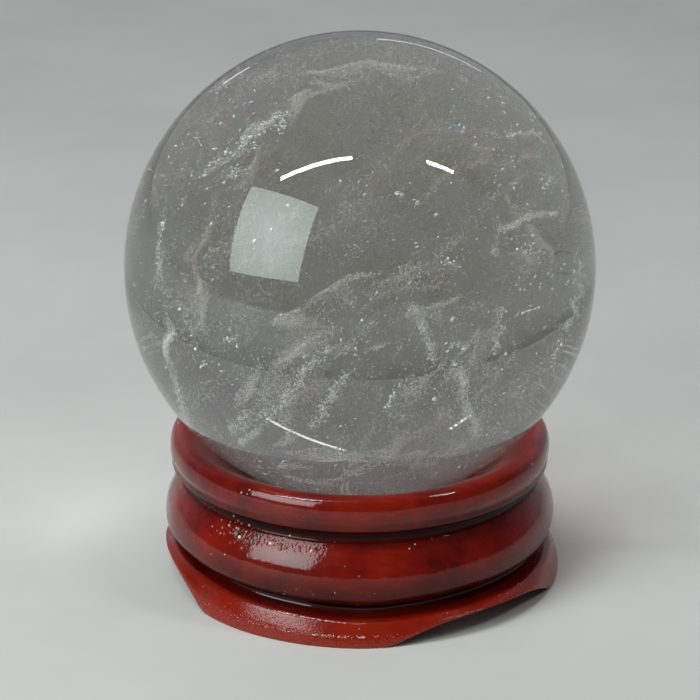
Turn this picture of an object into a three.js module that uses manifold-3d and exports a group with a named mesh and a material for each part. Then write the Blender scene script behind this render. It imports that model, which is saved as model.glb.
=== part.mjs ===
import * as THREE from 'three';
import { mergeVertices } from 'three/addons/utils/BufferGeometryUtils.js';
import Module from 'manifold-3d';

// A polished rock crystal ball on a turned and lacquered wooden ring stand.
// Millimetres, +Z up. The origin is in the middle of the stand, on the table.

// Ball
const ballDiameter = 40;

// Stand, widths
const bellyDiameter = 33.9; // the bead round the middle
const bellyBulge = 1.3; // how far that bead stands out from its two edges
const footOverhang = 0.5; // the foot flange stands this far out beyond the belly
const rimInset = 0.5; // the rim stays this far inside the belly
const rimWidth = 3.25; // from the outside of the rim to the edge of the ball's seat
const seatWidth = 2.2; // from the edge of the seat to the hole down the middle
const coveDepth = 1.65; // hollow between foot and belly, measured in from the belly
const grooveDepth = 1.9; // groove between belly and rim, measured in from the belly
const seatClearance = 0.3; // between the ball and the seat that it rests in

// Stand, heights
const standHeight = 12.9;
const footHeight = 2.45;
const footCorner = 0.35; // rounding of the lower edge of the flange
const coveHeight = 1.3;
const grooveHeight = 1;
const rimHeight = 3;
const seatDepth = 1.02; // from the top of the rim down to the edge of the seat

// Arches cut through the foot flange, which leave the feet between them
const archCount = 3;
const archWidth = 19.7; // at the outside of the flange
const archRise = 1.95;
const archShoulder = 7.5; // half the width at which the arch is steepest
const firstArchAngle = 38; // degrees round from the front, towards +X
const cutMargin = 1; // how far a cutter runs past what it cuts

// Fineness of the round shapes
const ballSegments = 48;
const standSegments = 64;
const curveSteps = 3;

const ballRadius = ballDiameter / 2;
const bellyRadius = bellyDiameter / 2;
const footRadius = bellyRadius + footOverhang;
const rimRadius = bellyRadius - rimInset;
const seatRadius = rimRadius - rimWidth;
const boreRadius = seatRadius - seatWidth;
const dishRadius = ballRadius + seatClearance;
const seatHeight = standHeight - seatDepth;
const ballHeight = seatHeight + Math.sqrt(dishRadius ** 2 - seatRadius ** 2);

const wasm = await Module();
wasm.setup();

// A three.js geometry as a solid that can be cut.
function solidFrom(geometry) {
  const bare = geometry.clone();
  bare.deleteAttribute('normal');
  bare.deleteAttribute('uv');
  const merged = mergeVertices(bare);
  return new wasm.Manifold(new wasm.Mesh({
    numProp: 3,
    vertProperties: new Float32Array(merged.attributes.position.array),
    triVerts: new Uint32Array(merged.index.array),
  }));
}

// A cut solid as a three.js geometry again.
function geometryFrom(solid) {
  const mesh = solid.getMesh();
  const geometry = new THREE.BufferGeometry();
  geometry.setAttribute('position', new THREE.BufferAttribute(mesh.vertProperties, 3));
  geometry.setIndex(new THREE.BufferAttribute(mesh.triVerts, 1));
  geometry.computeVertexNormals();
  return geometry;
}

// Half the cross-section of the stand, x out from the axis and y up, once round and closed.
function standOutline() {
  const coveRadius = bellyRadius - coveDepth;
  const grooveRadius = bellyRadius - grooveDepth;
  const bellyBottom = footHeight + coveHeight;
  const rimBottom = standHeight - rimHeight;
  const bellyTop = rimBottom - grooveHeight;
  const bellyEdge = bellyRadius - bellyBulge;
  const rimCorner = rimHeight / 3;
  const crestRadius = rimRadius - rimCorner;

  const outline = new THREE.Path();
  outline.moveTo(boreRadius, 0);
  outline.lineTo(footRadius - footCorner, 0);
  outline.quadraticCurveTo(footRadius, 0, footRadius, footCorner);
  outline.lineTo(footRadius, footHeight - 2 * footCorner);
  outline.quadraticCurveTo(footRadius, footHeight, footRadius - 2 * footCorner, footHeight);
  outline.quadraticCurveTo(coveRadius, footHeight, coveRadius, footHeight + coveHeight / 2);
  outline.quadraticCurveTo(coveRadius, bellyBottom, bellyEdge, bellyBottom);
  outline.absellipse(
    bellyEdge, (bellyBottom + bellyTop) / 2,
    bellyBulge, (bellyTop - bellyBottom) / 2,
    -Math.PI / 2, Math.PI / 2,
  );
  outline.quadraticCurveTo(grooveRadius, bellyTop, grooveRadius, bellyTop + grooveHeight / 2);
  outline.quadraticCurveTo(grooveRadius, rimBottom, rimRadius - rimInset / 2, rimBottom + rimInset);
  outline.bezierCurveTo(
    rimRadius - rimInset, rimBottom + rimCorner,
    rimRadius, rimBottom + rimCorner,
    rimRadius, standHeight - 1.5 * rimCorner,
  );
  outline.quadraticCurveTo(rimRadius, standHeight, crestRadius, standHeight);
  outline.quadraticCurveTo(crestRadius - rimCorner / 2, standHeight, seatRadius, seatHeight);
  outline.absarc(
    0, ballHeight, dishRadius,
    -Math.acos(seatRadius / dishRadius),
    -Math.acos(boreRadius / dishRadius),
    true,
  );
  outline.lineTo(boreRadius, 0);
  return outline;
}

// One arch as a bar that runs from the bore to the front, along -Y, and widens with the ring.
function archCutter() {
  const halfWidth = archWidth / 2;
  const arch = new THREE.Shape();
  arch.moveTo(-halfWidth, -cutMargin);
  arch.lineTo(-halfWidth, 0);
  arch.bezierCurveTo(-archShoulder, 0, -archShoulder, archRise, 0, archRise);
  arch.bezierCurveTo(archShoulder, archRise, archShoulder, 0, halfWidth, 0);
  arch.lineTo(halfWidth, -cutMargin);
  arch.closePath();

  const start = boreRadius - cutMargin;
  const end = footRadius + cutMargin;
  const bar = new THREE.ExtrudeGeometry(arch, {
    depth: end - start,
    bevelEnabled: false,
    curveSegments: 2 * curveSteps,
  });
  bar.translate(0, 0, start);
  const points = bar.attributes.position;
  for (let i = 0; i < points.count; i += 1) {
    points.setX(i, points.getX(i) * points.getZ(i) / footRadius);
  }
  bar.rotateX(Math.PI / 2);
  return solidFrom(bar);
}

function ringStand() {
  const turned = new THREE.LatheGeometry(standOutline().getPoints(curveSteps), standSegments);
  turned.rotateX(Math.PI / 2);
  let ring = solidFrom(turned);
  const cutter = archCutter();
  for (let i = 0; i < archCount; i += 1) {
    ring = ring.subtract(cutter.rotate([0, 0, firstArchAngle + i * 360 / archCount]));
  }
  const lacqueredWood = new THREE.MeshStandardMaterial({
    color: 0x7a2112,
    roughness: 0.15,
    metalness: 0,
  });
  const mesh = new THREE.Mesh(geometryFrom(ring), lacqueredWood);
  mesh.name = 'ring_stand';
  return mesh;
}

function crystalBall() {
  const sphere = new THREE.SphereGeometry(ballRadius, ballSegments, ballSegments / 2);
  sphere.rotateX(Math.PI / 2);
  const rockCrystal = new THREE.MeshStandardMaterial({
    color: 0xd9dcda,
    roughness: 0.02,
    metalness: 0,
    transparent: true,
    opacity: 0.35,
  });
  const mesh = new THREE.Mesh(sphere, rockCrystal);
  mesh.name = 'crystal_ball';
  mesh.position.z = ballHeight;
  return mesh;
}

const group = new THREE.Group();
group.add(ringStand());
group.add(crystalBall());

export default group;
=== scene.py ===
# Crystal ball on a turned and lacquered ring stand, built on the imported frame. Metres, +Z up.
import math

import bmesh
import bpy
import numpy as np
from mathutils import Matrix, Vector, noise
from mathutils.bvhtree import BVHTree


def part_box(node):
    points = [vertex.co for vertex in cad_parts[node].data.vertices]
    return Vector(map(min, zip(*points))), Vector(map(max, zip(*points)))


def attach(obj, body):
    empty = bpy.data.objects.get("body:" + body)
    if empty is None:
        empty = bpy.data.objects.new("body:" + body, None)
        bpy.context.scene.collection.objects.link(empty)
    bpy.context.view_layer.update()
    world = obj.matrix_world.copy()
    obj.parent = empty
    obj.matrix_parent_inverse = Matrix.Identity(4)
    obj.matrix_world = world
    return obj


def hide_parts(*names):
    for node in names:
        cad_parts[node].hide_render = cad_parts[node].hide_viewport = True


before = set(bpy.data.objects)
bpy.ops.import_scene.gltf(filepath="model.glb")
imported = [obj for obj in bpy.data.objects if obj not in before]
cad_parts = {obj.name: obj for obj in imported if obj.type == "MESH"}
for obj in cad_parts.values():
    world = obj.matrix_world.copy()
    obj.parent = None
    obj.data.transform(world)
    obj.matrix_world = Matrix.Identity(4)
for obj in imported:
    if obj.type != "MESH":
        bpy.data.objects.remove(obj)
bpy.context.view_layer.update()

mm = 0.001
ballLow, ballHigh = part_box("crystal_ball")
standLow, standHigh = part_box("ring_stand")
ballCentre = (ballLow + ballHigh) / 2
ballRadius = (ballHigh.z - ballLow.z) / 2
chance = np.random.default_rng(7)
print("frame: ball", round(ballRadius / mm, 2), "mm in radius, stand",
      round(standHigh.z / mm, 2), "mm high")


def linear(hexColour, alpha=1.0):
    # sRGB hex to the linear numbers that Blender's sockets hold
    parts = [int(hexColour[i:i + 2], 16) / 255 for i in (1, 3, 5)]
    return [p / 12.92 if p <= 0.04045 else ((p + 0.055) / 1.055) ** 2.4 for p in parts] + [alpha]


def addNode(tree, kind, sockets=None, **settings):
    # a node with its settings, and each socket either given a value or linked
    node = tree.nodes.new("ShaderNode" + kind)
    for name, value in settings.items():
        setattr(node, name, value)
    for name, value in (sockets or {}).items():
        socket = node.inputs[name]
        if isinstance(value, bpy.types.NodeSocket):
            tree.links.new(value, socket)
        else:
            socket.default_value = value
    return node


def rampBetween(tree, factor, stops):
    # a colour ramp through (position, sRGB hex) stops
    ramp = addNode(tree, "ValToRGB", {"Fac": factor})
    elements = ramp.color_ramp.elements
    while len(elements) < len(stops):
        elements.new(0.5)
    for element, (position, colour) in zip(elements, stops):
        element.position = position
        element.color = linear(colour)
    return ramp.outputs["Color"]


def newMaterial(name):
    material = bpy.data.materials.new(name)
    material.use_nodes = True
    tree = material.node_tree
    return material, tree, tree.nodes["Principled BSDF"]


def setSockets(tree, node, sockets):
    for name, value in sockets.items():
        if isinstance(value, bpy.types.NodeSocket):
            tree.links.new(value, node.inputs[name])
        else:
            node.inputs[name].default_value = value


def addPiece(name, mesh, body, material, replaces=None):
    mesh.materials.append(material)
    mesh.polygons.foreach_set("use_smooth", [True] * len(mesh.polygons))
    piece = bpy.data.objects.new(name, mesh)
    bpy.context.scene.collection.objects.link(piece)
    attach(piece, body)
    if replaces:
        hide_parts(replaces)
    print("made", name, "with", len(mesh.polygons), "faces")
    return piece


def bezier(handles, steps):
    # points along a curve of any number of handles, its start left out so that stretches join
    order = len(handles) - 1
    points = []
    for i in range(1, steps + 1):
        t = i / steps
        shares = [math.comb(order, k) * t ** k * (1 - t) ** (order - k) for k in range(order + 1)]
        points.append(tuple(sum(s * h[axis] for s, h in zip(shares, handles)) for axis in (0, 1)))
    return points


def ellipse(centre, across, high, start, end, steps):
    # an elliptical arc from start to end in radians, its start left out
    turns = [start + (end - start) * i / steps for i in range(1, steps + 1)]
    return [(centre[0] + across * math.cos(t), centre[1] + high * math.sin(t)) for t in turns]


# The camera looks down on the ball, square to the front of the stand.
shot = {
    "away": 240 * mm,          # from the ball's centre
    "above": 19.45,            # degrees over the horizon
    "lens": 145.3,             # on a 36 mm sensor
    "aimAcross": -0.83 * mm,   # what the lens points at, from the ball's centre
    "aimUp": -7.05 * mm,
}
shotAngle = math.radians(shot["above"])
toCamera = Vector((0, -math.cos(shotAngle), math.sin(shotAngle)))
toRight = Vector((1, 0, 0))
toTop = toCamera.cross(toRight)


def addCamera():
    camera = bpy.data.objects.new("camera", bpy.data.cameras.new("camera"))
    camera.data.lens = shot["lens"]
    camera.data.sensor_width = 36
    camera.data.clip_start = 10 * mm
    camera.data.clip_end = 20
    camera.location = ballCentre + toCamera * shot["away"]
    aim = ballCentre + toRight * shot["aimAcross"] + toTop * shot["aimUp"]
    camera.rotation_euler = (aim - camera.location).to_track_quat("-Z", "Y").to_euler()
    bpy.context.scene.collection.objects.link(camera)
    bpy.context.scene.camera = camera


# Each lamp faces the ball. Places are in mm from the ball's centre, sizes in mm, power in watts.
lamps = {
    "softbox": {
        "place": (-265, -236, 183), "size": (262, 262), "roll": 6,
        "power": 1.33, "colour": "#e4f6f5",
    },
    "long_tube": {
        "place": (-180, -181, 500), "size": (310, 18), "roll": 6,
        "power": 1.0, "colour": "#ffffff",
    },
    "short_tube": {
        "place": (343, -127, 500), "size": (125, 18), "roll": 4,
        "power": 0.42, "colour": "#ffffff",
    },
    "far_long_tube": {         # the far two show as thin arcs low in the ball
        "place": (104, 580, 146), "size": (172, 8), "roll": 23,
        "power": 0.012, "colour": "#ffffff",
    },
    "far_short_tube": {
        "place": (-200, 564, 129), "size": (52, 9), "roll": -31,
        "power": 0.006, "colour": "#ffffff",
    },
}


def unevenCloth(data):
    # the softbox's cloth is brightest over its bulb
    data.use_nodes = True
    tree = data.node_tree
    across = addNode(tree, "NewGeometry").outputs["Parametric"]
    fromBulb = addNode(tree, "VectorMath", {0: across, 1: (0.5, 0.52, 0)}, operation="DISTANCE")
    glow = addNode(tree, "MapRange", {
        "Value": fromBulb.outputs["Value"], "From Max": 0.6, "To Min": 1.22, "To Max": 0.8,
    })
    tree.links.new(glow.outputs["Result"], tree.nodes["Emission"].inputs["Strength"])


def addLamps():
    for name, lamp in lamps.items():
        data = bpy.data.lights.new(name, "AREA")
        data.shape = "RECTANGLE"
        data.size = lamp["size"][0] * mm
        data.size_y = lamp["size"][1] * mm
        data.energy = lamp["power"]
        data.color = linear(lamp["colour"])[:3]
        if name == "softbox":
            unevenCloth(data)
        place = Vector(lamp["place"]) * mm
        across = toRight if name.endswith("tube") else Vector((0, 0, 1)).cross(place).normalized()
        facing = place.normalized()
        upward = facing.cross(across).normalized()
        across = upward.cross(facing)
        turned = Matrix((across, upward, facing)).transposed().to_4x4()
        roll = Matrix.Rotation(math.radians(lamp["roll"]), 4, "Z")
        obj = bpy.data.objects.new(name, data)
        obj.matrix_world = Matrix.Translation(ballCentre + place) @ turned @ roll
        bpy.context.scene.collection.objects.link(obj)


room = {
    "wall": "#aeb0b8",         # pale behind the ball, where a screen stands
    "shade": "#4c4d4f",        # dim on the camera's side
    "dimUntil": 0.1,           # how far back the dim half reaches, and where the pale one starts
    "paleFrom": 0.75,
    "strength": 0.8,
    "floorSize": 4.0,          # metres
    "floorPale": "#e4e2de",
    "floorShade": "#dad8d4",
    "mottling": 30 * mm,
}


def addSky():
    # from dim on the camera's side to pale behind, with no edge that the ball could show
    world = bpy.data.worlds.new("studio")
    world.use_nodes = True
    tree = world.node_tree
    direction = addNode(tree, "TexCoord").outputs["Generated"]
    backwards = addNode(tree, "SeparateXYZ", {"Vector": direction}).outputs["Y"]
    share = addNode(tree, "MapRange", {
        "Value": backwards, "From Min": room["dimUntil"], "From Max": room["paleFrom"],
    }, interpolation_type="SMOOTHSTEP")
    colour = rampBetween(tree, share.outputs["Result"], [(0.0, room["shade"]), (1.0, room["wall"])])
    setSockets(tree, tree.nodes["Background"], {"Color": colour, "Strength": room["strength"]})
    bpy.context.scene.world = world


def addFloor():
    # matt painted board: even, pale, with only a breath of mottling
    shape = bmesh.new()
    bmesh.ops.create_grid(shape, x_segments=8, y_segments=8, size=room["floorSize"] / 2)
    mesh = bpy.data.meshes.new("floor")
    shape.to_mesh(mesh)
    shape.free()
    material, tree, shader = newMaterial("matt painted board")
    place = addNode(tree, "TexCoord").outputs["Object"]
    cloudy = addNode(tree, "TexNoise", {"Vector": place, "Scale": 1 / room["mottling"], "Detail": 4.0})
    stops = [(0.3, room["floorShade"]), (0.7, room["floorPale"])]
    colour = rampBetween(tree, cloudy.outputs["Fac"], stops)
    setSockets(tree, shader, {"Base Color": colour, "Roughness": 0.6})
    mesh.materials.append(material)
    floor = bpy.data.objects.new("floor", mesh)
    bpy.context.scene.collection.objects.link(floor)


addCamera()
addLamps()
addSky()
addFloor()
bpy.context.scene.view_settings.view_transform = "Standard"
print("camera, lamps and room are up")


# The stand is one turned ring. Widths and heights are in mm.
stand = {
    "steps": 240,
    "belly": 16.95,            # radius of the bead round the middle
    "bellyBulge": 1.3,
    "bellyFlat": 0.4,          # how little its upper half falls in before the shoulder
    "shoulderDrop": 0.4,       # below the groove
    "bellyDroop": 1.95,        # the belly is widest this far over the cove
    "rimInset": 0.5,
    "rimWaist": 0.35,          # the rim draws in this much over its lower lip
    "lipInset": 0.12,
    "lipHeight": 0.4,
    "rimWidth": 3.25,
    "seatWidth": 2.2,
    "coveDepth": 1.65,
    "grooveDepth": 1.6,
    "footHeight": 2.45,
    "footCorner": 0.14,
    "browDrop": 0.42,          # the soft chamfer round the top of the flange
    "browWidth": 0.4,
    "flangeSlant": 0.56,       # the flange is wider at the table than at its brow
    "coveHeight": 0.95,
    "grooveHeight": 1.0,
    "rimHeight": 3.2,
    "seatDepth": 1.02,
    "seatClearance": 0.3,
    "flangeShrink": 0.2,       # the flange is a little small for its place, and off centre
    "flangeShift": (0.22, -0.2),
    "swell": 0.75,             # how far the flange rises on the left
    "swellAngle": -75,
    "swellSpread": 30,
    "swellFade": 1.5,          # it dies out this far up the belly
    "sag": 0.36,               # and how far it sinks in front
    "sagAngle": 1,
    "sagSpread": 17,
    "waviness": 0.045,         # the lacquer's slow waves
    "waveLength": 3.2,
    "gloss": 0.85,             # weight of the clear top coat
    "shadeDulling": 0.88,        # the share of it taken away as painted shade in the hollows
    "foam": [                  # patches of fine bubbles: angle, its spread, height, its spread
        (-24, 11, 8.15, 0.42),
        (-39, 5, 8.0, 0.5),
    ],
}
arches = [                     # cut by hand, so no two are alike; angles in degrees from the front
    {"angle": 39, "half": 34, "rise": 2.0},
    {"angle": -82, "half": 33, "rise": 2.75},
    {"angle": 158, "half": 32, "rise": 2.05},
]


def standOutline():
    # half the cross-section, radius and height in mm, once round from the bottom of the bore
    s = stand
    rim = s["belly"] - s["rimInset"]
    cove = s["belly"] - s["coveDepth"]
    groove = s["belly"] - s["grooveDepth"]
    edge = s["belly"] - s["bellyBulge"]
    seat = rim - s["rimWidth"]
    bore = seat - s["seatWidth"]
    foot = (standHigh.y - standLow.y) / 2 / mm
    top = standHigh.z / mm
    flange = s["footHeight"]
    bellyLow = flange + s["coveHeight"]
    rimLow = top - s["rimHeight"]
    bellyHigh = rimLow - s["grooveHeight"]
    corner = s["footCorner"]
    third = s["rimHeight"] / 3
    crest = rim - third
    dish = ballRadius / mm + s["seatClearance"]
    middle = ballCentre.z / mm

    points = [(bore, 0)]
    points += bezier([(bore, 0), (foot - corner, 0)], 8)
    points += bezier([(foot - corner, 0), (foot, 0), (foot, corner)], 3)
    slant = foot - s["flangeSlant"]
    drop, width = s["browDrop"], s["browWidth"]
    brow = (slant, flange - drop)
    faceMiddle = (foot - s["flangeSlant"] / 3, flange / 2)
    points += bezier([(foot, corner), (foot, flange / 3), faceMiddle, brow], 7)
    ledge = (slant - width, flange)
    browLow = (slant - 0.15 * width, flange - 0.6 * drop)
    browHigh = (slant - width / 2, flange - drop / 5)
    points += bezier([brow, browLow, browHigh, ledge], 6)
    coveMiddle = (cove, flange + s["coveHeight"] / 2)
    points += bezier([ledge, (cove, flange), coveMiddle], 7)
    points += bezier([coveMiddle, (cove, bellyLow), (edge, bellyLow)], 4)
    droop = bellyLow + s["bellyDroop"]
    points += ellipse((edge, droop), s["bellyBulge"], s["bellyDroop"], -math.pi / 2, 0, 9)
    shoulder = (edge + 0.1, bellyHigh - s["shoulderDrop"])
    widest = (s["belly"], droop)
    upperHalf = [(s["belly"], droop + 1), (s["belly"] - s["bellyFlat"], droop + 1.9)]
    points += bezier([widest, *upperHalf, shoulder], 11)
    points += bezier([shoulder, (edge - 0.1, bellyHigh), (groove + 0.1, bellyHigh)], 4)
    hollowMiddle = (groove, bellyHigh + s["grooveHeight"] / 2)
    points += bezier([(groove + 0.1, bellyHigh), (groove, bellyHigh), hollowMiddle], 3)
    lip = (rim - s["lipInset"], rimLow + s["lipHeight"])
    points += bezier([hollowMiddle, (groove, rimLow), lip], 6)
    rimShoulder = (rim, top - 1.5 * third)
    waist = (rim - s["rimWaist"], rimLow + third)
    points += bezier([lip, waist, (rim, rimLow + third), rimShoulder], 8)
    points += bezier([rimShoulder, (rim, top), (crest, top)], 8)
    points += bezier([(crest, top), (crest - third / 2, top), (seat, top - s["seatDepth"])], 8)
    turns = [-math.acos(seat / dish), -math.acos(bore / dish)]
    points += ellipse((0, middle), dish, dish, turns[0], turns[1], 5)
    points += bezier([points[-1], (bore, 0)], 9)[:-1]
    return points


def angleFromFront(x, y):
    return np.degrees(np.arctan2(x, -y))


def turnBetween(angle, other):
    # the shorter way round, in degrees
    return (angle - other + 180) % 360 - 180


def climb(values, start, end):
    # 0 up to the start, 1 from the end on
    return np.clip((values - start) / (end - start), 0, 1)


def hump(values, middle, spread):
    return np.exp(-((values - middle) / spread) ** 2)


def archLift(angle):
    # how far the underside is cut away at each angle round the ring
    lift = np.zeros_like(angle)
    for arch in arches:
        side = np.abs(turnBetween(angle, arch["angle"])) / arch["half"]
        curve = [(0, 1)] + bezier([(0, 1), (0.76, 1), (0.76, 0), (1, 0)], 24)
        lift = np.maximum(lift, arch["rise"] * np.interp(side, *zip(*curve)))
    return lift


def shapeStand(points):
    # the hand work: arches, a flange that sits off centre and swells, wavy lacquer
    s = stand
    x, y, z = (points / mm).T
    angle = angleFromFront(x, y)
    radius = np.hypot(x, y)
    lift = archLift(angle)
    swell = s["swell"] * hump(turnBetween(angle, s["swellAngle"]), 0, s["swellSpread"])
    swell -= s["sag"] * hump(turnBetween(angle, s["sagAngle"]), 0, s["sagSpread"])
    flange = s["footHeight"]
    fade = flange + s["coveHeight"] + s["swellFade"]
    low = lift + z * (flange + swell - lift) / flange
    high = z + swell * climb(z, fade, flange)
    bent = np.where(z < flange, low, high)
    cove = s["belly"] - s["coveDepth"]
    onFlange = climb(radius, cove, cove + 1.2) * climb(z, flange + 0.9, flange)
    shrink = 1 - onFlange * s["flangeShrink"] / radius
    x = x * shrink + onFlange * s["flangeShift"][0]
    y = y * shrink + onFlange * s["flangeShift"][1]
    return np.stack([x, y, bent], 1) * mm


def waveOut(shape, depth, length, seed):
    # push each vertex along its normal by slow noise
    for vertex in shape.verts:
        wave = noise.noise(vertex.co / (length * mm) + Vector((seed, 0, 0)))
        vertex.co += vertex.normal * (wave * depth * mm)


def keepInBox(points, low, high):
    return np.clip(points, np.array(low) + 2e-6, np.array(high) - 2e-6)


def makeStand():
    shape = bmesh.new()
    verts = [shape.verts.new((0, -r * mm, z * mm)) for r, z in standOutline()]
    edges = [shape.edges.new((a, b)) for a, b in zip(verts, verts[1:] + verts[:1])]
    bmesh.ops.spin(
        shape, geom=verts + edges, cent=(0, 0, 0), axis=(0, 0, 1),
        angle=2 * math.pi, steps=stand["steps"], use_merge=True,
    )
    bmesh.ops.remove_doubles(shape, verts=shape.verts, dist=1e-6)
    bmesh.ops.recalc_face_normals(shape, faces=shape.faces)
    turned = np.array([v.co for v in shape.verts])
    for vertex, place in zip(shape.verts, shapeStand(turned)):
        vertex.co = place
    shape.normal_update()
    waveOut(shape, stand["waviness"], stand["waveLength"], 3.1)
    waved = np.array([v.co for v in shape.verts])
    for vertex, place in zip(shape.verts, keepInBox(waved, standLow, standHigh)):
        vertex.co = place
    shape.normal_update()
    mesh = bpy.data.meshes.new("ring_of_wood")
    shape.to_mesh(mesh)
    surface = BVHTree.FromBMesh(shape)
    shape.free()
    paintShadeAndWear(mesh, turned / mm)
    return mesh, surface


def paintShadeAndWear(mesh, turned):
    # painted shade in the grooves, the cove and under the belly and rim, where the flange was filed or
    # rubbed, where foam dried, and what the lathe tool left rough, from the place of each vertex before
    # the hand work
    s = stand
    radius = np.hypot(turned[:, 0], turned[:, 1])
    angle = angleFromFront(turned[:, 0], turned[:, 1])
    z = turned[:, 2]
    foot = (standHigh.y - standLow.y) / 2 / mm
    top = standHigh.z / mm
    flange = s["footHeight"]
    droop = flange + s["coveHeight"] + s["bellyDroop"]
    rimLow = top - s["rimHeight"]

    # painted shade: nearly black in the grooves, the cove and under the belly and rim, where shade
    # falls
    outside = climb(radius, 14.2, 15.0)
    cove = hump(z, flange + s["coveHeight"] * 0.75, 0.75)
    groove = hump(z, rimLow - s["grooveHeight"] / 2, 0.62)
    paintedShade = outside * climb(radius, s["belly"] + 0.1, s["belly"] - 1.0) * np.maximum(cove, groove)
    underBelly = outside * climb(z, flange + 0.4, flange + 0.9) * climb(z, droop + 0.9, droop - 1.7)
    underRim = outside * climb(z, rimLow - 0.5, rimLow) * climb(z, top - 1.6, top - 3.0)
    paintedShade = np.maximum(paintedShade, np.maximum(0.85 * underBelly, 0.6 * underRim))
    filed = climb(radius, foot - 0.7, foot - 0.3) * climb(z, 1.35, 0.45)
    inside = np.maximum(climb(z, 0.05, 0), climb(radius, 13.0, 12.6))
    slant = foot - s["flangeSlant"]
    face = climb(radius, slant - 0.5, slant - 0.1) * climb(z, flange + 0.1, flange - 0.3)
    foam = np.zeros_like(z)
    for middle, spread, height, rise in s["foam"]:
        foam = np.maximum(foam, hump(angle, middle, spread) * hump(z, height, rise))
    # painted shade: most of the top coat's reflection is taken away in the hollows, but not on the
    # ledge over the flange
    shaded = s["shadeDulling"] * paintedShade * climb(z, flange + 0.36, flange + 0.66)
    named = {
        "paintedShade": paintedShade, "filed": filed, "inside": inside, "face": face,
        "foam": outside * foam, "shine": s["gloss"] * (1 - shaded),
    }
    for name, values in named.items():
        attribute = mesh.attributes.new(name, "FLOAT", "POINT")
        attribute.data.foreach_set("value", values.astype(np.float32))


lacquer = {
    "thin": "#912006",         # pigment where the lacquer lies thin, as it mostly does, and thick
    "even": "#7c1204",
    "thick": "#560a03",
    # painted shade, for the grooves, the cove and under the belly and rim
    "shadeBlack": "#0d0201",
    "rubbed": "#9c2208",
    "filedPale": "#b8583f",
    "filedDark": "#84180b",
    "inside": "#4a140c",
    "patches": 5 * mm,         # sizes of the patterns
    "plank": (2.5 * mm, 0.25 * mm, 0.6 * mm),
    "peel": 0.5 * mm,
    "froth": 0.2 * mm,
    "scuffs": 0.15 * mm,
    "nibs": 0.24 * mm,
    "rings": 1.6 * mm,
}


def lacquerMaterial():
    # Red-brown lacquer, flowed on thick over turned wood: deep red where it thins on the beads, with
    # painted shade nearly black in the hollows, and a wet gloss that shows slow waves and fine dust
    # nibs.
    material, tree, shader = newMaterial("flowed red lacquer on turned wood")
    place = addNode(tree, "TexCoord").outputs["Object"]
    look = lacquer

    def share(name):
        return addNode(tree, "Attribute", attribute_name=name).outputs["Fac"]

    def blend(fac, first, second, **settings):
        mixed = addNode(tree, "MixRGB", {"Fac": fac, "Color1": first, "Color2": second}, **settings)
        return mixed.outputs["Color"]

    def weaken(fac, by):
        return addNode(tree, "Math", {0: fac, 1: by}, operation="MULTIPLY").outputs[0]

    def emboss(strength, depth, height, below=None):
        sockets = {"Strength": strength, "Distance": depth, "Height": height}
        if below:
            sockets["Normal"] = below
        return addNode(tree, "Bump", sockets).outputs["Normal"]

    # the lacquer's thickness wanders
    patches = addNode(tree, "TexNoise", {
        "Vector": place, "Scale": 1 / look["patches"], "Detail": 5.0, "Roughness": 0.6,
    }).outputs["Fac"]
    stops = [(0.3, look["thick"]), (0.5, look["even"]), (0.72, look["thin"])]
    red = rampBetween(tree, patches, stops)
    # wood fibres, ten times as long as they are wide, lie along the plank
    finest = tuple(1 / size for size in look["plank"])
    plank = addNode(tree, "Mapping", {"Vector": place, "Scale": finest})
    fibres = addNode(tree, "TexNoise", {"Vector": plank.outputs["Vector"], "Scale": 1.0, "Detail": 3.0})
    fibreTone = rampBetween(tree, fibres.outputs["Fac"], [(0.35, "#b8a79c"), (0.65, "#ffffff")])
    tone = blend(0.45, red, fibreTone, blend_type="MULTIPLY")
    # painted shade: the hollows and the undersides of belly and rim go nearly black
    tone = blend(share("paintedShade"), tone, linear(look["shadeBlack"]))
    filed = share("filed")
    nibs = addNode(tree, "TexVoronoi", {
        "Vector": place, "Scale": 1 / look["nibs"],
    }).outputs["Distance"]
    bare = rampBetween(tree, nibs, [(0.08, look["filedPale"]), (0.4, look["filedDark"])])
    tone = blend(weaken(filed, 0.55), tone, bare)
    face = share("face")
    tone = blend(weaken(face, 0.4), tone, linear(look["rubbed"]))
    inside = share("inside")
    tone = blend(inside, tone, linear(look["inside"]))
    # orange peel everywhere, foam in two places, scuffs on the flange, which spread what it
    # mirrors, nibs where it was filed, and lathe rings on the inside
    peel = addNode(tree, "TexNoise", {"Vector": place, "Scale": 1 / look["peel"], "Detail": 3.0})
    normal = emboss(0.5, 0.035 * mm, peel.outputs["Fac"])
    froth = addNode(tree, "TexVoronoi", {
        "Vector": place, "Scale": 1 / look["froth"],
    }, feature="SMOOTH_F1")
    normal = emboss(share("foam"), 0.07 * mm, froth.outputs["Distance"], normal)
    scuffs = addNode(tree, "TexNoise", {"Vector": place, "Scale": 1 / look["scuffs"], "Detail": 2.0})
    normal = emboss(face, 0.02 * mm, scuffs.outputs["Fac"], normal)
    normal = emboss(filed, 0.045 * mm, nibs, normal)
    rings = addNode(tree, "TexWave", {
        "Vector": place, "Scale": 1 / look["rings"], "Distortion": 0.6,
    }, wave_type="RINGS", rings_direction="Z")
    normal = emboss(inside, 0.05 * mm, rings.outputs["Fac"], normal)
    dullness = addNode(tree, "MapRange", {"Value": inside, "To Min": 0.32, "To Max": 0.6})
    setSockets(tree, shader, {
        "Base Color": tone, "Roughness": dullness.outputs["Result"], "Specular IOR Level": 0.05,
        "Coat Weight": share("shine"), "Coat Roughness": 0.04, "Coat IOR": 1.5,
        "Normal": normal, "Coat Normal": normal,
    })
    return material


standMesh, standSurface = makeStand()
addPiece(
    "turned_ring", standMesh, "stand", lacquerMaterial(),
    replaces="ring_stand",
)


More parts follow.
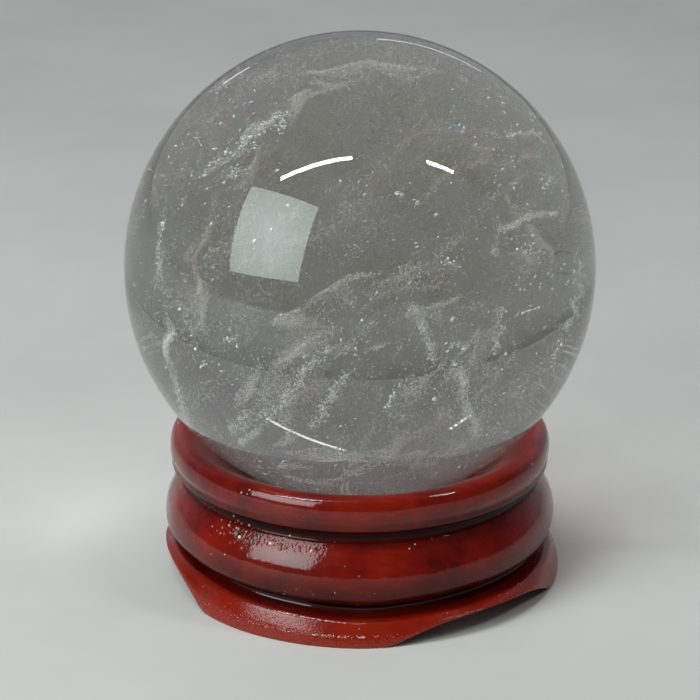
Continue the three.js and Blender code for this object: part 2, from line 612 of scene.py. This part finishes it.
# Bubbles and nibs that the lacquer dried round. Sizes are radii in mm.
bubbles = {
    "groups": [                # angle from the front, height, spread of both, count, size from and to
        (-40, 8.0, 5.0, 0.6, 34, 0.06, 0.15),
        (-23, 8.15, 6.5, 0.3, 26, 0.07, 0.2),
        (-58, 9.3, 6.0, 0.9, 8, 0.04, 0.08),
        (20, 8.4, 3.0, 0.12, 4, 0.05, 0.08),
        (-8, 8.5, 2.5, 0.1, 3, 0.05, 0.08),
        (0, 6.3, 0.5, 0.1, 1, 0.1, 0.13),
        (-35, 12.3, 2.5, 0.12, 4, 0.07, 0.12),
        (-16, 11.2, 1.0, 0.1, 2, 0.05, 0.08),
        (-20, 1.05, 18.0, 0.07, 190, 0.025, 0.06),
        (-6, 0.98, 6.0, 0.05, 90, 0.03, 0.08),
        (-25, 1.5, 14.0, 0.3, 40, 0.03, 0.055),
        (-10, 4.6, 16.0, 0.2, 12, 0.03, 0.06),
        (50, 2.3, 16.0, 0.12, 26, 0.03, 0.07),
    ],
    "strays": 90,              # the rest lie anywhere
    "strayFrom": 0.03,
    "strayTo": 0.07,
    "flatness": 0.6,
    "burstAngle": -39,         # one large bubble burst and left a pit with a bead at its edge
    "burstHeight": 7.95,
    "burstRadius": 0.34,
    "burstLip": 0.08,
    "beadRadius": 0.15,
}


def placeOnStand(angle, height):
    # the surface straight in from outside at this angle and height, or None over an arch
    turn = math.radians(angle)
    outward = Vector((math.sin(turn), -math.cos(turn), 0))
    start = outward * 30 * mm + Vector((0, 0, height * mm))
    place, normal, face, far = standSurface.ray_cast(start, -outward)
    return (place, normal) if place and far < 17 * mm else None


def facingOut(found):
    # a matrix that stands a shape up on the surface there
    place, normal = found
    return Matrix.Translation(place) @ normal.to_track_quat("Z", "Y").to_matrix().to_4x4()


def addDome(shape, pale, radius, detail, matrix, paleness):
    flat = Matrix.Diagonal((radius * mm, radius * mm, radius * mm * bubbles["flatness"], 1))
    made = bmesh.ops.create_icosphere(shape, subdivisions=detail, radius=1, matrix=matrix @ flat)
    for vertex in made["verts"]:
        vertex[pale] = paleness


def addBurst(shape, pale, pit):
    # a low crater, made before the domes: a floor darkened as painted shade, raised lip, outside set
    # down into the lacquer
    r, lip = bubbles["burstRadius"], bubbles["burstLip"]
    profile = [(0, 0.01, 1), (0.6 * r, 0.012, 1), (0.85 * r, 0.03, 1), (r, lip, 0.3)]
    profile += [(r + lip / 2, lip * 0.9, 0), (r + lip, -0.05, 0), (0, -0.05, 0)]
    verts = []
    for across, up, dark in profile:
        vertex = shape.verts.new((across * mm, 0, up * mm))
        vertex[pit] = dark
        verts.append(vertex)
    edges = [shape.edges.new(pair) for pair in zip(verts, verts[1:])]
    bmesh.ops.spin(
        shape, geom=verts + edges, cent=(0, 0, 0), axis=(0, 0, 1),
        angle=2 * math.pi, steps=24, use_merge=True,
    )
    bmesh.ops.remove_doubles(shape, verts=shape.verts, dist=1e-7)
    bmesh.ops.recalc_face_normals(shape, faces=shape.faces)
    matrix = facingOut(placeOnStand(bubbles["burstAngle"], bubbles["burstHeight"]))
    bmesh.ops.transform(shape, matrix=matrix, verts=shape.verts)
    offset = Matrix.Translation(Vector((r * 0.6, -r * 0.15, lip)) * mm)
    # the bead is painted fully pale, a painted highlight
    addDome(shape, pale, bubbles["beadRadius"], 3, matrix @ offset, 1.0)


def makeBubbles():
    b = bubbles
    spots = []
    for angle, height, turnSpread, riseSpread, count, small, large in b["groups"]:
        for n in range(count):
            spots.append((
                angle + chance.normal() * turnSpread, height + chance.normal() * riseSpread,
                chance.uniform(small, large),
            ))
    for n in range(b["strays"]):
        spots.append((
            chance.uniform(-180, 180), chance.uniform(1.0, 12.4),
            chance.uniform(b["strayFrom"], b["strayTo"]),
        ))
    shape = bmesh.new()
    pale = shape.verts.layers.float.new("pale")
    pit = shape.verts.layers.float.new("pit")
    addBurst(shape, pale, pit)
    for angle, height, size in spots:
        found = placeOnStand(angle, height)
        if found:
            detail = 2 if size > 0.06 else 1
            # some are painted paler, a painted highlight
            addDome(shape, pale, size, detail, facingOut(found), chance.uniform() ** 3)
    mesh = bpy.data.meshes.new("bubbles_in_lacquer")
    shape.to_mesh(mesh)
    shape.free()
    return mesh


def bubbleMaterial():
    # The same lacquer, drawn thin over air or a grain of dust: lighter than the rest by a painted
    # highlight, with painted shade nearly black down in the burst one, and mirror bright.
    material, tree, shader = newMaterial("lacquer bubble skin")
    place = addNode(tree, "TexCoord").outputs["Object"]
    grain = addNode(tree, "TexNoise", {"Vector": place, "Scale": 1 / (0.4 * mm), "Detail": 2.0})
    red = rampBetween(tree, grain.outputs["Fac"], [(0.35, "#4a0d07"), (0.65, "#a83a1c")])
    # painted highlight: the pale share stands in for the lamps' glint on the bubbles
    pale = addNode(tree, "Attribute", attribute_name="pale").outputs["Fac"]
    glinting = addNode(tree, "MixRGB", {"Fac": pale, "Color1": red, "Color2": linear("#f0d4ca")})
    # painted shade: nearly black down in the burst bubble's pit
    pit = addNode(tree, "Attribute", attribute_name="pit").outputs["Fac"]
    shaded = addNode(tree, "MixRGB", {
        "Fac": pit, "Color1": glinting.outputs["Color"], "Color2": linear("#0b0201"),
    })
    setSockets(tree, shader, {
        "Base Color": shaded.outputs["Color"], "Roughness": 0.25,
        "Coat Weight": 1.0, "Coat Roughness": 0.03, "Coat IOR": 1.5, "Specular IOR Level": 0.05,
    })
    return material


addPiece("lacquer_bubbles", makeBubbles(), "stand", bubbleMaterial())


# The ball, ground and polished by hand from one crystal.
ball = {
    "fineness": 7,             # icosphere subdivisions
    "outOfRound": 0.006,       # mm
    "lobe": 14,                # mm across
    "ior": 1.544,
    "clearThrough": 0.3,       # the share of light that comes through the middle
    "smoke": "#cfccc6",
    "streakTilt": -42,
    "streakLength": 9,         # mm
    "streakWidth": 2.4,
    "thinHaze": 3,             # scattering per metre
    "thickHaze": 45,
}


def makeBall():
    shape = bmesh.new()
    place = Matrix.Translation(ballCentre)
    inner = ballRadius - ball["outOfRound"] * mm
    bmesh.ops.create_icosphere(shape, subdivisions=ball["fineness"], radius=inner, matrix=place)
    shape.normal_update()
    waveOut(shape, ball["outOfRound"] * 0.9, ball["lobe"], 8.4)
    mesh = bpy.data.meshes.new("ground_crystal")
    shape.to_mesh(mesh)
    shape.free()
    return mesh


def crystalMaterial():
    # Rock crystal, ground and polished: water clear at the skin, a little smoky in the depth,
    # with the faint bloom that fingers leave.
    material, tree, shader = newMaterial("polished rock crystal")
    place = addNode(tree, "TexCoord").outputs["Object"]
    bloom = addNode(tree, "TexNoise", {
        "Vector": place, "Scale": 1 / (9 * mm), "Detail": 6.0, "Roughness": 0.65,
    })
    smear = addNode(tree, "MapRange", {
        "Value": bloom.outputs["Fac"], "From Min": 0.5, "From Max": 0.8, "To Min": 0.0, "To Max": 0.03,
    })
    setSockets(tree, shader, {
        "Base Color": linear("#ffffff"), "Roughness": smear.outputs["Result"],
        "IOR": ball["ior"], "Transmission Weight": 1.0,
    })
    smoke = linear(ball["smoke"])
    strongest = 1 - min(smoke[:3])
    density = -math.log(ball["clearThrough"]) / (2 * ballRadius) / strongest
    absorb = addNode(tree, "VolumeAbsorption", {"Color": smoke, "Density": density})
    # the haze between the flakes that are too fine to model, drawn out into the same streaks
    turned = addNode(tree, "Mapping", {
        "Vector": place, "Location": -ballCentre, "Rotation": (0, math.radians(ball["streakTilt"]), 0),
    }, vector_type="POINT")
    drawn = addNode(tree, "Mapping", {
        "Vector": turned.outputs["Vector"],
        "Scale": (1 / (ball["streakLength"] * mm), 1 / (5 * mm), 1 / (ball["streakWidth"] * mm)),
    })
    clouds = addNode(tree, "TexNoise", {
        "Vector": drawn.outputs["Vector"], "Scale": 1.0, "Detail": 5.0, "Roughness": 0.62,
    })
    thick = addNode(tree, "MapRange", {
        "Value": clouds.outputs["Fac"], "From Min": 0.42, "From Max": 0.75,
        "To Min": ball["thinHaze"], "To Max": ball["thickHaze"],
    })
    scatter = addNode(tree, "VolumeScatter", {
        "Color": linear("#e9e4df"), "Density": thick.outputs["Result"],
    })
    both = addNode(tree, "AddShader", {0: absorb.outputs["Volume"], 1: scatter.outputs["Volume"]})
    tree.links.new(both.outputs["Shader"], tree.nodes["Material Output"].inputs["Volume"])
    return material


crystal = addPiece(
    "polished_ball", makeBall(), "ball", crystalMaterial(),
    replaces="crystal_ball",
)
crystal.visible_shadow = False  # so that the lamps light the flaws inside


# Flaws in the crystal. Across and up are mm from the ball's middle as the front shows them, and
# depth is mm in from the polish along the line of sight.
flaws = {
    "dust": 30000,
    "dustSize": (0.035, 0.1),
    "streakTilt": 42,          # degrees up from level
    "streakLength": 9.0,
    "streakWidth": 2.2,
    "sheets": [                # across, up, depth, length, breadth, tilt, lean, count
        (0.5, -3.5, 12, 7.0, 3.0, 20, 35, 5200),
        (7.5, -11.0, 10, 6.0, 3.6, 55, 40, 5200),
        (-8.5, 10.0, 6, 6.5, 2.4, 42, 50, 3600),
        (13.2, 2.2, 6, 3.6, 2.6, -35, 40, 2600),
        (12.5, 9.5, 6, 4.5, 2.4, 25, 45, 2400),
        (-13, -1, 7, 6.0, 2.2, 80, 60, 2400),
        (-7, -11, 8, 5.5, 3.0, 48, 35, 3800),
        (3, 8, 15, 7.5, 3.2, 32, 50, 3200),
        (0, 15.8, 6, 8.0, 2.0, 0, 60, 2400),
        (-1, -16.5, 6, 7.0, 2.0, 5, 45, 3200),
        (-4, 2, 30, 8.0, 4.5, 30, 20, 3000),
        (6, -4, 31, 7.0, 4.0, 60, -30, 3000),
        (10, 10, 24, 6.0, 3.5, -40, 60, 2400),
        (-10, 6, 25, 6.0, 3.5, 70, -50, 2400),
    ],
    "sheetSize": (0.035, 0.1),
    "veils": [                 # across and up along the veil, depth from and to, thickness, count
        ([(-15.7, 6.1), (-16.3, -0.7), (-15.6, -5.3), (-15.9, -6.6), (-15.2, -9.2), (-14.3, -13.8)],
         1.5, 8.0, 0.13, 2400),
        ([(-8.6, -14), (-6.2, -11), (-4.8, -9), (-2.6, -6.4)], 3.0, 9.0, 0.16, 700),
        ([(-3.6, -13), (-2.6, -11), (-1.2, -8.4)], 4.0, 9.0, 0.15, 450),
        ([(11.8, 3.0), (13.5, 4.1), (16.0, 4.4)], 2.0, 7.0, 0.16, 900),
        ([(18.1, 0.6), (17.9, -2.5), (17.0, -5.2)], 1.0, 6.0, 0.15, 800),
        ([(8.2, -8.0), (8.6, -11.0), (9.8, -13.8)], 4.0, 14.0, 0.24, 1000),
        ([(11.4, -3.2), (11.0, -5.5), (10.8, -7.0)], 3.0, 6.0, 0.07, 260),
        ([(4.2, -3.0), (5.4, -5.5), (5.8, -7.5)], 5.0, 12.0, 0.18, 450),
    ],
    "flecks": [                # across, up, depth, length, width, tilt, count
        (-11.5, 14.9, 3.0, 0.9, 0.35, 35, 40),
        (-8.6, 10.7, 5.0, 2.3, 0.65, 40, 130),
        (-7.2, 11.6, 5.0, 1.2, 0.45, 35, 45),
        (-6.1, 11.8, 5.0, 1.0, 0.4, 62, 55),
        (-11.9, 8.4, 4.0, 0.6, 0.2, 30, 18),
        (-12.4, 7.4, 4.0, 0.5, 0.15, 35, 14),
        (-10.8, 9.2, 4.0, 0.25, 0.15, 60, 7),
        (-11.9, 9.5, 4.0, 0.3, 0.12, 20, 6),
        (-10.3, 7.3, 5.0, 1.3, 0.5, 40, 30),
        (-14.4, 5.1, 4.0, 0.6, 0.25, 50, 14),
        (-16.0, 3.2, 2.5, 0.8, 0.2, 85, 20),
        (-10.6, -5.8, 6.0, 0.5, 0.3, 30, 14),
        (-12.7, -7.9, 5.0, 0.7, 0.25, 15, 16),
        (2.4, -10.8, 7.0, 1.3, 0.28, 60, 45),
        (3.2, 5.9, 8.0, 0.5, 0.25, -40, 14),
        (4.5, 5.3, 8.0, 0.4, 0.2, -35, 8),
        (16.8, 8.4, 2.0, 0.5, 0.18, 10, 14),
        (15.2, 6.7, 4.0, 0.7, 0.3, 50, 22),
        (14.4, 12.6, 3.0, 1.2, 0.22, -10, 26),
        (14.8, 10.9, 4.0, 0.45, 0.2, 20, 12),
        (12.6, 10.8, 4.0, 1.3, 0.15, 15, 16),
        (7.6, -6.4, 9.0, 1.0, 0.45, 20, 26),
        (7.1, 0.4, 9.0, 0.9, 0.5, 0, 26),
        (14.2, 1.0, 6.0, 2.2, 0.9, -40, 90),
        (16.2, -6.8, 4.0, 1.8, 0.5, 75, 50),
        (13.6, -3.5, 3.0, 1.0, 0.05, 17, 45),
    ],
    "sprays": [                # loose flecks: across, up, depth, spread, count
        (13.2, 9.6, 6.0, 2.6, 130),
        (-12.0, 8.0, 6.0, 3.0, 110),
        (15.0, 0.0, 5.0, 2.2, 80),
        (-12.5, -5.0, 8.0, 3.0, 50),
        (3.0, -9.0, 9.0, 6.0, 90),
        (0.0, 0.0, 12.0, 9.0, 160),
        (14.0, -9.0, 5.0, 3.0, 60),
    ],
    "fleckSize": (0.05, 0.16),
    "spraySize": (0.045, 0.22),
    "rainbows": [              # across, up, depth, spread, count
        (-7.9, -16.8, 4.0, 0.3, 14),
        (-6.1, -16.0, 5.0, 0.2, 8),
        (-5.7, -17.4, 4.0, 0.2, 8),
        (7.9, 11.4, 5.0, 0.5, 9),
        (-9.6, 12.6, 5.0, 0.5, 7),
    ],
    "rainbowSize": (0.1, 0.26),
}
streakTurn = math.radians(flaws["streakTilt"])
streakAlong = toRight * math.cos(streakTurn) + toTop * math.sin(streakTurn)
streakAside = toTop * math.cos(streakTurn) - toRight * math.sin(streakTurn)


def seenFromFront(across, up, depth):
    # follow the line of sight into the crystal, bent as it goes in
    reach = ballRadius / mm
    outwards = math.sqrt(max(reach ** 2 - across ** 2 - up ** 2, 0.01))
    entry = toRight * across + toTop * up + toCamera * outwards
    entry *= reach / entry.length
    normal = entry / reach
    slower = 1 / ball["ior"]
    facing = normal.dot(toCamera)
    bent = -toCamera * slower
    bent += normal * (slower * facing - math.sqrt(1 - slower ** 2 * (1 - facing ** 2)))
    return ballCentre + (entry + bent * depth) * mm


def cloudiness(place):
    # 0 to 1, drawn out into streaks
    offset = place - ballCentre
    along = offset.dot(streakAlong) / (flaws["streakLength"] * mm)
    aside = offset.dot(streakAside) / (flaws["streakWidth"] * mm)
    deep = offset.dot(toCamera) / (flaws["streakWidth"] * 2.5 * mm)
    streaks = noise.fractal(Vector((along, aside, deep)), 1.0, 2.1, 4)
    return min(max(streaks * 1.6 - 0.25, 0), 1) ** 1.5


def randomTurns(count):
    # evenly random rotation matrices, from random quaternions
    w, x, y, z = chance.normal(size=(4, count))
    length = np.sqrt(w * w + x * x + y * y + z * z)
    w, x, y, z = w / length, x / length, y / length, z / length
    return np.stack([
        np.stack([1 - 2 * (y * y + z * z), 2 * (x * y - w * z), 2 * (x * z + w * y)], -1),
        np.stack([2 * (x * y + w * z), 1 - 2 * (x * x + z * z), 2 * (y * z - w * x)], -1),
        np.stack([2 * (x * z - w * y), 2 * (y * z + w * x), 1 - 2 * (x * x + y * y)], -1),
    ], 1)


def alignedTurns(count):
    # rotation matrices whose X leans towards the streaks
    along = np.array(streakAlong) + chance.normal(size=(count, 3)) * 0.45
    along /= np.linalg.norm(along, axis=1, keepdims=True)
    aside = np.cross(along, chance.normal(size=(count, 3)))
    aside /= np.linalg.norm(aside, axis=1, keepdims=True)
    return np.stack([along, aside, np.cross(along, aside)], 2)


def scatterShards(name, shard, places, sizes, thinness=0.5, turns=None):
    # copies of one small closed shard, each at its place, turned at random if not told how
    corners = np.array([v.co for v in shard.verts])
    shard.verts.index_update()
    sides = np.array([[v.index for v in f.verts] for f in shard.faces])
    places = np.array(places)
    count = len(places)
    stretch = np.stack([sizes, sizes * chance.uniform(0.35, 0.9, count), sizes * thinness], 1) * mm
    turns = randomTurns(count) if turns is None else turns
    turned = np.einsum("nij,nkj->nki", turns, corners[None] * stretch[:, None])
    points = (turned + places[:, None]).reshape(-1, 3)
    faces = (sides[None] + np.arange(count)[:, None, None] * len(corners)).reshape(-1, sides.shape[1])
    mesh = bpy.data.meshes.new(name)
    mesh.from_pydata(points.tolist(), [], faces.tolist())
    shard.free()
    return mesh


def insideBall(places, margin=0.25):
    # only what lies well under the polish
    return [p for p in places if (p - ballCentre).length < ballRadius - margin * mm]


def splinter():
    # the smallest closed shard, four sides
    shape = bmesh.new()
    bmesh.ops.create_cone(shape, cap_ends=True, segments=3, radius1=1, radius2=0, depth=1.2)
    bmesh.ops.triangulate(shape, faces=shape.faces)
    bmesh.ops.recalc_face_normals(shape, faces=shape.faces)
    return shape


def chip():
    # a rounder shard for the larger flecks
    shape = bmesh.new()
    bmesh.ops.create_icosphere(shape, subdivisions=1, radius=1)
    return shape


def makeHaze():
    places = []
    while len(places) < flaws["dust"]:
        offset = Vector(chance.uniform(-1, 1, 3))
        if offset.length > 0.985:
            continue
        place = ballCentre + offset * ballRadius
        if chance.uniform() < cloudiness(place):
            places.append(place)
    sizes = chance.uniform(*flaws["dustSize"], len(places))
    return scatterShards("haze", splinter(), places, sizes)


def makeSheets():
    # old cracks that healed: curved sheets of dust, patchy as breath on a pane
    places = []
    for across, up, depth, length, breadth, tilt, lean, count in flaws["sheets"]:
        turn, away = math.radians(tilt), math.radians(lean)
        along = toRight * math.cos(turn) + toTop * math.sin(turn)
        aside = toTop * math.cos(turn) - toRight * math.sin(turn)
        aside = aside * math.cos(away) + toCamera * math.sin(away)
        facing = along.cross(aside)
        middle = seenFromFront(across, up, depth)
        made = 0
        while made < count:
            u, v = chance.uniform(-1, 1, 2)
            rest = 1 - u * u - v * v
            spot = Vector((u * length / 3.2 + depth, v * breadth / 1.1, tilt))
            patch = noise.fractal(spot, 0.9, 2.1, 5)
            if rest < 0 or chance.uniform() > (0.35 * rest + patch * 1.3 - 0.12) * 1.2:
                continue
            made += 1
            ripple = noise.noise(Vector((u * 2, v * 2, depth))) * 1.6 + 0.6 * u * v
            ripple += chance.normal() * 0.12
            offset = along * (u * length) + aside * (v * breadth) + facing * ripple
            places.append(middle + offset * mm)
    places = insideBall(places)
    sizes = chance.uniform(*flaws["sheetSize"], len(places))
    return scatterShards("sheets", splinter(), places, sizes)


def makeVeils():
    places = []
    for route, near, far, thickness, count in flaws["veils"]:
        steps = np.linspace(0, 1, len(route))
        across, up = np.array(route).T
        made = 0
        while made < count:
            t, d = chance.uniform(size=2)
            patch = noise.fractal(Vector((t * 7, d * 3, near)), 1.0, 2.0, 3)
            if chance.uniform() > 0.3 + patch * 1.4:
                continue
            made += 1
            wobble = noise.fractal(Vector((t * 6, d * 2, far)), 1.0, 2.0, 3) * 0.7
            places.append(seenFromFront(
                np.interp(t, steps, across) + wobble + chance.normal() * thickness,
                np.interp(t, steps, up) + chance.normal() * thickness,
                near + (far - near) * d,
            ))
    places = insideBall(places)
    sizes = chance.uniform(*flaws["dustSize"], len(places)) * 1.15
    return scatterShards("veils", splinter(), places, sizes)


def makeFlecks():
    places = []
    sizes = []
    for across, up, depth, length, width, tilt, count in flaws["flecks"]:
        turn = math.radians(tilt)
        for n in range(count):
            a = chance.normal() * length / 2
            b = chance.normal() * width / 2
            places.append(seenFromFront(
                across + a * math.cos(turn) - b * math.sin(turn),
                up + a * math.sin(turn) + b * math.cos(turn),
                depth + chance.normal() * width,
            ))
            sizes.append(chance.uniform(*flaws["fleckSize"]))
    for across, up, depth, spread, count in flaws["sprays"]:
        for n in range(count):
            a, b = chance.normal(size=2) * spread
            places.append(seenFromFront(across + a, up + b, depth + chance.normal() * 2))
            small, large = flaws["spraySize"]
            sizes.append(small + (large - small) * chance.uniform() ** 3)
    reach = ballRadius - 0.4 * mm
    kept = [(p, s) for p, s in zip(places, sizes) if (p - ballCentre).length < reach]
    places, sizes = zip(*kept)
    return scatterShards("flecks", chip(), places, np.array(sizes), 0.35, alignedTurns(len(places)))


def makeRainbows():
    # cracks thin enough to show colours, each a few flat flakes
    places = []
    for across, up, depth, spread, count in flaws["rainbows"]:
        for n in range(count):
            a, b, c = chance.normal(size=3) * spread
            places.append(seenFromFront(across + a, up + b, depth + c))
    places = insideBall(places, 0.4)
    sizes = chance.uniform(*flaws["rainbowSize"], len(places))
    return scatterShards("rainbows", chip(), places, sizes, 0.15, alignedTurns(len(places)))


def rainbowMaterial():
    # a film of air between two faces of quartz: bands of yellow, green, blue and violet, which also
    # glow a little as painted light
    material, tree, shader = newMaterial("thin crack in quartz")
    place = addNode(tree, "TexCoord").outputs["Object"]
    bands = addNode(tree, "TexNoise", {"Vector": place, "Scale": 1 / (0.5 * mm), "Detail": 1.0})
    stops = [(0.3, "#e8cf7a"), (0.42, "#8fcfa0"), (0.52, "#7da6e0")]
    stops += [(0.62, "#b58bdc"), (0.74, "#efb08a")]
    tone = rampBetween(tree, bands.outputs["Fac"], stops)
    # painted light: the bands glow in their own colours
    setSockets(tree, shader, {
        "Base Color": tone, "Roughness": 0.3, "Specular IOR Level": 0.3,
        "Emission Color": tone, "Emission Strength": 0.2,
    })
    return material


def flawMaterial(name, dark, pale, coarse, glow):
    # Tiny cracks and pockets in quartz: what light they scatter is white, warmed by iron stain
    # in places. They have no gloss of their own inside the crystal, and glow a little, painted light
    # for what the crystal scatters onto them.
    material, tree, shader = newMaterial(name)
    place = addNode(tree, "TexCoord").outputs["Object"]
    stain = addNode(tree, "TexNoise", {"Vector": place, "Scale": 1 / (coarse * mm), "Detail": 3.0})
    tone = rampBetween(tree, stain.outputs["Fac"], [(0.35, dark), (0.65, pale)])
    setSockets(tree, shader, {
        "Base Color": tone, "Roughness": 0.7, "Specular IOR Level": 0.1,
        "Emission Color": linear("#dcdad6"), "Emission Strength": glow,
    })
    return material


# the last number is each one's painted glow
hazeLook = flawMaterial("fluid inclusions in quartz", "#a39b96", "#d2d2cc", 4, 0.19)
addPiece("haze_dust", makeHaze(), "ball", hazeLook)
sheetLook = flawMaterial("healed crack in quartz", "#b3a8a2", "#dedcd6", 5, 0.12)
addPiece("dust_sheets", makeSheets(), "ball", sheetLook)
veilLook = flawMaterial("healed fracture in quartz", "#b8b2ac", "#e6e6e0", 2, 0.12)
addPiece("healed_veils", makeVeils(), "ball", veilLook)
fleckLook = flawMaterial("fresh fracture in quartz", "#94908c", "#ffffff", 0.5, 0.12)
addPiece("bright_flecks", makeFlecks(), "ball", fleckLook)
addPiece("rainbow_cracks", makeRainbows(), "ball", rainbowMaterial())
